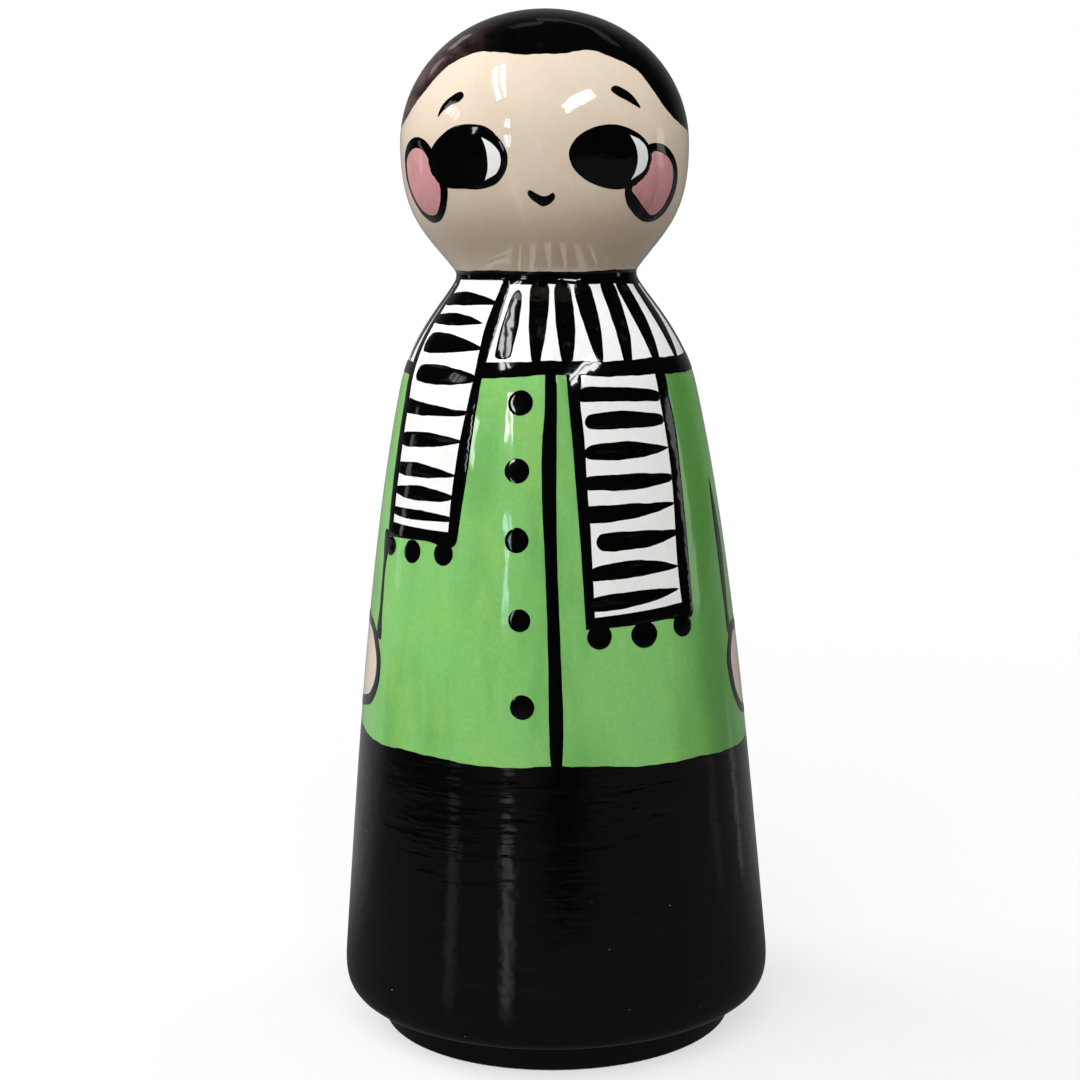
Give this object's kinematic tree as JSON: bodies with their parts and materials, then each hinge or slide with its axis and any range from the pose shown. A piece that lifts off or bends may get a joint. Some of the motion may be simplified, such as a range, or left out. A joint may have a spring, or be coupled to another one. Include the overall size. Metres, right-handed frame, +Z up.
{
  "type": "peg doll",
  "caption": "Standing peg doll of glazed ceramic with a round head and a flared hollow body, painted with a striped scarf, a green jacket and dark trousers; rests on a recessed foot ring.",
  "frame": {"origin": "on the doll's axis, at the plane of the foot ring's bottom face", "axes": "+Z up along the doll's axis, the face looks along -Y, and +X is to the right seen from the front"},
  "size_m": [0.1074, 0.1074, 0.25],
  "materials": {
    "clay": "fired white clay, bare at the foot",
    "hair_black": "brushed black under clear gloss glaze",
    "skin_cream": "cream under clear gloss glaze",
    "scarf_white": "white under clear gloss glaze",
    "jacket_green": "brushed green under clear gloss glaze",
    "trousers_black": "brushed black under clear gloss glaze",
    "cheek_pink": "streaky pink under clear gloss glaze",
    "line_black": "brushed black line under clear gloss glaze"
  },
  "bodies": {
    "root": {"base_disc": "clay", "body_shell": "clay", "head_shell": "clay", "neck_slip_ring": "clay", "hair_coat": "hair_black", "face_coat": "skin_cream", "neck_band": "line_black", "collar_coat": "scarf_white", "short_tail_coat": "scarf_white", "long_tail_coat": "scarf_white", "jacket_coat": "jacket_green", "left_hand": "skin_cream", "right_hand": "skin_cream", "trousers_coat": "trousers_black", "foot_coat": "trousers_black", "left_eye": "line_black", "right_eye": "line_black", "left_eye_white": "scarf_white", "right_eye_white": "scarf_white", "left_cheek": "cheek_pink", "right_cheek": "cheek_pink", "left_cheek_ring": "line_black", "right_cheek_ring": "line_black", "left_eyebrow": "line_black", "right_eyebrow": "line_black", "mouth": "line_black", "collar_edge": "line_black", "collar_strokes": "line_black", "short_tail_outline": "line_black", "short_tail_strokes": "line_black", "short_tail_pompoms": "line_black", "long_tail_outline": "line_black", "long_tail_strokes": "line_black", "long_tail_pompoms": "line_black", "front_line": "line_black", "buttons": "line_black", "left_hand_outline": "line_black", "right_hand_outline": "line_black", "left_sleeve_lines": "line_black", "right_sleeve_lines": "line_black"}
  },
  "joints": []
}
